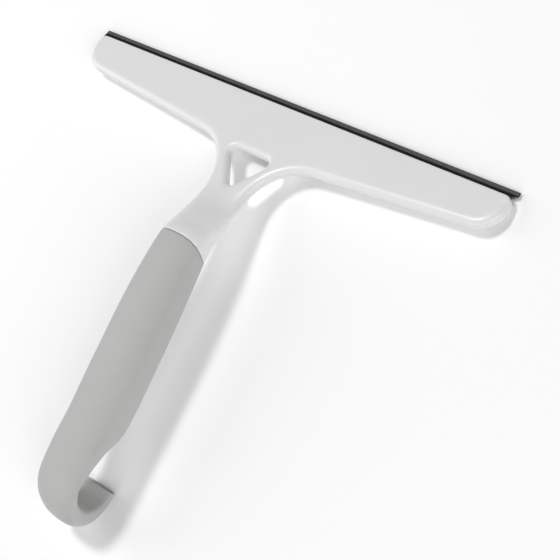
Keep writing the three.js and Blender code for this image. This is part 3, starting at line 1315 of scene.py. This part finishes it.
@dataclass
class Blade:
    """The silicone blade: a thin lip, a web and a bead, swept along the head."""

    head: HeadMoulding
    length: float = 235.0
    lip: float = 3.7
    edge: float = 0.8
    web: float = 1.6
    bead_radius: float = 1.5
    bead_line: float = 10.4
    plane: float = -2.55
    corner: float = 0.12  # radius of the wiping edge's two corners
    notch_line: float = 2.3  # the relief groove in front, where the lip bends
    notch_half: float = 0.55
    notch_depth: float = 0.35
    lip_end: float = 4.45  # below this the blade stops short of the end wall
    bevel_width: float = 2.7
    bevel_height: float = 1.6
    bend_below: float = 0.5  # the bend starts this far inside the jaws
    bend_above: float = 1.0
    points: int = 161

    def tree(self) -> bpy.types.NodeTree:
        """The node tree that sweeps the blade's section. Returns: the tree."""
        group = bpy.data.node_groups.new("blade_sweep", "GeometryNodeTree")
        sizes = {
            "Length": self.length,
            "Lip": self.lip,
            "Edge": self.edge,
            "Web": self.web,
            "Bead Radius": self.bead_radius,
            "Bead Line": self.bead_line,
            "Plane": self.plane,
            "Corner": self.corner,
            "Notch Line": self.notch_line,
            "Notch Half": self.notch_half,
            "Notch Depth": self.notch_depth,
        }
        for name, size in sizes.items():
            socket = group.interface.new_socket(
                name, in_out="INPUT", socket_type="NodeSocketFloat"
            )
            socket.default_value = size * MM
        # The second material is painted shade, for the blade's front near the jaws.
        for name, finish in (("Finish", DARK_SILICONE), ("Band Finish", SILICONE_PAINTED_SHADE)):
            socket = group.interface.new_socket(
                name, in_out="INPUT", socket_type="NodeSocketMaterial"
            )
            socket.default_value = MATERIALS[finish.name]
        group.interface.new_socket(
            "Geometry", in_out="OUTPUT", socket_type="NodeSocketGeometry"
        )
        tree = Tree(group)
        given = group.nodes.new("NodeGroupInput")
        size = {s.name: Value(tree, s) for s in given.outputs if s.name}
        total = size["Bead Line"] + size["Bead Radius"]
        # The section is a closed loop: down the front from the edge, then up the back.
        loop = tree.add(
            "GeometryNodeCurvePrimitiveCircle",
            {"mode": "RADIUS"},
            {"Resolution": 2 * self.points, "Radius": 1.0},
        )
        index = tree.add("GeometryNodeInputIndex")
        front = (self.points - 0.5) - index
        side = front.above(0.0) * 2.0 - 1.0
        step = side * front
        share = 1.0 - step / (self.points - 0.5)
        depth = share * total
        lip_half = size["Edge"] * 0.5 + (size["Web"] - size["Edge"]) * 0.5 * (
            (depth / size["Lip"]).at_most(1.0)
        )
        offset = depth - size["Bead Line"]
        bead = size["Bead Radius"] * size["Bead Radius"] - offset * offset
        bead = bead.at_least(0.0).root()
        web_end = offset.above(0.0)
        body = (lip_half * (1.0 - web_end)).at_least(bead)
        away = (size["Corner"] - depth).at_least(0.0)
        corner = (size["Corner"] * size["Corner"] - away * away).at_least(0.0).root()
        away = (depth - size["Notch Line"]) / size["Notch Half"]
        notch = size["Notch Depth"] * (1.0 - away * away).at_least(0.0) * front.above(0.0)
        half = (body - size["Corner"] + corner - notch).at_least(0.0)
        across = tree.add(
            "ShaderNodeCombineXYZ",
            None,
            {"X": side * half, "Y": depth * -1.0, "Z": 0.0},
        )
        shaped = tree.add(
            "GeometryNodeSetPosition", None, {"Geometry": loop, "Position": across}
        )
        start, end = (
            tree.add("ShaderNodeCombineXYZ", None, {"X": size["Length"] * half})
            for half in (-0.5, 0.5)
        )
        path = tree.add(
            "GeometryNodeCurvePrimitiveLine", None, {"Start": start, "End": end}
        )
        swept = tree.add(
            "GeometryNodeCurveToMesh",
            None,
            {"Curve": path, "Profile Curve": shaped, "Fill Caps": True},
        )
        lift = tree.add("ShaderNodeCombineXYZ", None, {"Z": size["Plane"]})
        placed = tree.add(
            "GeometryNodeTransform",
            None,
            {"Geometry": swept, "Translation": lift, "Rotation": (math.pi / 2, 0, 0)},
        )
        whole = tree.add("GeometryNodeRealizeInstances", None, {"Geometry": placed})
        painted = tree.add(
            "GeometryNodeSetMaterial",
            None,
            {"Geometry": whole, "Material": size["Finish"]},
        )
        place = tree.add("GeometryNodeInputPosition")
        up = tree.add("ShaderNodeSeparateXYZ", None, {"Vector": place}, output="Y")
        out = tree.add("ShaderNodeSeparateXYZ", None, {"Vector": place}, output="Z")
        # Painted shade: front faces deeper than the relief groove get the near-black
        # finish, standing in for the shadow under the jaw's edge.
        painted_shade_faces = (up * -1.0).above(size["Notch Line"] - size["Notch Half"])
        with_painted_shade = tree.add(
            "GeometryNodeSetMaterial",
            None,
            {
                "Geometry": painted,
                "Selection": painted_shade_faces * out.above(size["Plane"]),
                "Material": size["Band Finish"],
            },
        )
        tree.add("NodeGroupOutput", None, {"Geometry": with_painted_shade})
        return group

    def build(self) -> bpy.types.Object:
        """Builds the blade as one length of silicone. Returns: the object."""
        piece = placed("silicone_blade", bpy.data.meshes.new("silicone_blade"))
        modifier = piece.modifiers.new("sweep", "NODES")
        modifier.node_group = self.tree()
        for item in modifier.node_group.interface.items_tree:
            if item.in_out == "INPUT":
                modifier[item.identifier] = item.default_value
        bake(piece)
        # the sweep's winding points inwards, so it is turned before anything is cut
        shape = bmesh.new()
        shape.from_mesh(piece.data)
        face_outwards(shape)
        shape.to_mesh(piece.data)
        shape.free()
        head = self.head
        past = [
            (-self.lip_end, TOOL_BACK),
            (TOOL_FOOT, TOOL_BACK),
            (TOOL_FOOT, TOOL_FRONT),
            (-self.lip_end, TOOL_FRONT),
        ]
        end = head.wall_inside - head.gap
        carve(piece, bar("right_end_tool", past, end, head.width), Carving.CUT)
        carve(piece, bar("left_end_tool", past, -head.width, -end), Carving.CUT)
        carve(piece, self.corner_tool(), Carving.CUT)
        return piece

    def corner_tool(self) -> bpy.types.Object:
        """The tool that bevels the lip's lower corner at the closed end. Returns: it."""
        half, wide, high = self.length / 2, self.bevel_width, self.bevel_height
        corners = [
            (half - wide, self.head.mouth),
            (half - wide, -self.lip_end - 1.0),
            (half + 1.0, -self.lip_end - 1.0),
            (half + 1.0, self.head.mouth + high * (1 + 1.0 / wide)),
        ]
        layers = [[(x, y, z) for x, y in corners] for z in (TOOL_BACK, TOOL_FRONT)]
        return prism("corner_tool", layers)


# ---- Studio -----------------------------------------------------------------------


@dataclass
class Studio:
    """Floor, lights and camera."""

    axes: HeadAxes
    aim: tuple = (0.05136, -0.07265, 0.0)  # on the head's front plane, in metres
    distance: float = 0.5887
    azimuth: float = -20.60  # degrees, in the head's axes
    elevation: float = 50.75
    roll: float = -37.85
    lens: float = 97.3  # millimetres, on a 36 mm sensor
    floor_size: float = 6.0
    sky_light: float = 0.1
    sky_seen: float = 0.85

    def camera(self) -> bpy.types.Object:
        """Sets up the camera. Returns: the camera."""
        data = bpy.data.cameras.new("camera")
        data.lens = self.lens
        data.sensor_width = 36.0
        data.clip_start = 0.01
        camera = placed("camera", data)
        turn, lift = math.radians(self.azimuth), math.radians(self.elevation)
        flat = Vector((math.cos(turn), math.sin(turn), 0))
        back = flat * math.cos(lift) + Vector((0, 0, math.sin(lift)))
        level = Vector((-flat.y, flat.x, 0))
        upright = Matrix((level, back.cross(level), back)).transposed().to_4x4()
        rolled = upright @ Matrix.Rotation(math.radians(self.roll), 4, "Z")
        eye = Vector(self.aim) + back * self.distance
        camera.matrix_world = self.axes.matrix() @ Matrix.Translation(eye) @ rolled
        bpy.context.scene.camera = camera
        return camera

    def floor(self) -> bpy.types.Object:
        """Lays the pale floor. Returns: the floor."""
        half = self.floor_size / 2
        data = bpy.data.meshes.new("floor")
        corners = [(-half, -half, 0), (half, -half, 0), (half, half, 0), (-half, half, 0)]
        data.from_pydata(corners, [], [(0, 1, 2, 3)])
        floor = placed("floor", data)
        material = bpy.data.materials.new("pale_floor")
        material.use_nodes = True
        shader = material.node_tree.nodes["Principled BSDF"]
        shader.inputs["Base Color"].default_value = (0.95, 0.95, 0.95, 1)
        shader.inputs["Roughness"].default_value = 0.9
        shader.inputs["Emission Color"].default_value = (1, 1, 1, 1)
        shader.inputs["Emission Strength"].default_value = 0.05
        shader.inputs["Specular IOR Level"].default_value = 0.1
        data.materials.append(material)
        return floor

    def light(self, name: str, place: tuple, size: float, power: float) -> None:
        """Adds a square soft light aimed at the squeegee.

        Args:
            name: the light's name.
            place: where it hangs, in metres.
            size: its side.
            power: watts.
        """
        data = bpy.data.lights.new(name, "AREA")
        data.shape = "SQUARE"
        data.size = size
        data.energy = power
        lamp = placed(name, data)
        lamp.location = place
        aim = Vector((0, 0, 0.01)) - Vector(place)
        lamp.rotation_euler = aim.to_track_quat("-Z", "Y").to_euler()

    def surroundings(self) -> None:
        """Sets a dim even sky that the camera sees as bright as the floor."""
        world = bpy.data.worlds.new("studio")
        world.use_nodes = True
        world.node_tree.nodes.clear()
        tree = Tree(world.node_tree)
        seen = tree.add("ShaderNodeLightPath", output="Is Camera Ray")
        strength = self.sky_light + (self.sky_seen - self.sky_light) * seen
        sky = tree.add(
            "ShaderNodeBackground", None, {"Color": (1, 1, 1, 1), "Strength": strength}
        )
        tree.add("ShaderNodeOutputWorld", None, {"Surface": sky})
        bpy.context.scene.world = world

    def build(self) -> None:
        """Builds floor, lights and camera."""
        self.camera()
        self.floor()
        self.surroundings()
        bpy.context.scene.view_settings.view_transform = "Standard"
        self.light("key", (-0.45, 0.45, 1.4), 0.3, 11)
        self.light("right", (1.3, -0.3, 0.8), 0.9, 10.5)
        self.light("left", (-1.3, -0.2, 0.7), 0.9, 7.5)
        self.light("front", (0.3, -1.3, 0.8), 0.9, 5.5)


# ---- Assembly ---------------------------------------------------------------------


def main() -> None:
    """Builds the squeegee and its studio, piece by piece."""
    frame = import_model()
    for finish in (WHITE_MOULDING, SOFT_GREY, DARK_SILICONE, SILICONE_PAINTED_SHADE):
        MATERIALS[finish.name] = finish.build()
    run = HandleRun()
    head = HeadMoulding(run)
    axes = HeadAxes.from_record(
        frame["record"], frame["joints"], (head.mouth, head.blade_plane)
    )
    Studio(axes).build()

    tilt = math.atan2(axes.out.y, axes.out.z)
    moulding, uncut = head.build(tilt)
    settle(moulding, axes, WHITE_MOULDING)
    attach(moulding, "handle")
    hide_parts("head_and_handle_frame")

    strip = settle(ClampStrip(head, tilt).build(uncut), axes, WHITE_MOULDING)
    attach(strip, "handle")
    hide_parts("rear_clamp_strip")

    sleeve = settle(GripSleeve(run).build(), axes, SOFT_GREY, 60.0)
    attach(sleeve, "handle")
    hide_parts("grip_sleeve")

    blade = Blade(head)
    silicone = settle(blade.build(), axes, DARK_SILICONE)
    hinge = axes.matrix() @ Vector((0, head.mouth * MM, head.blade_plane * MM))
    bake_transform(silicone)
    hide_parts("blade_root", "blade_lip")


if __name__ == "__main__":
    main()
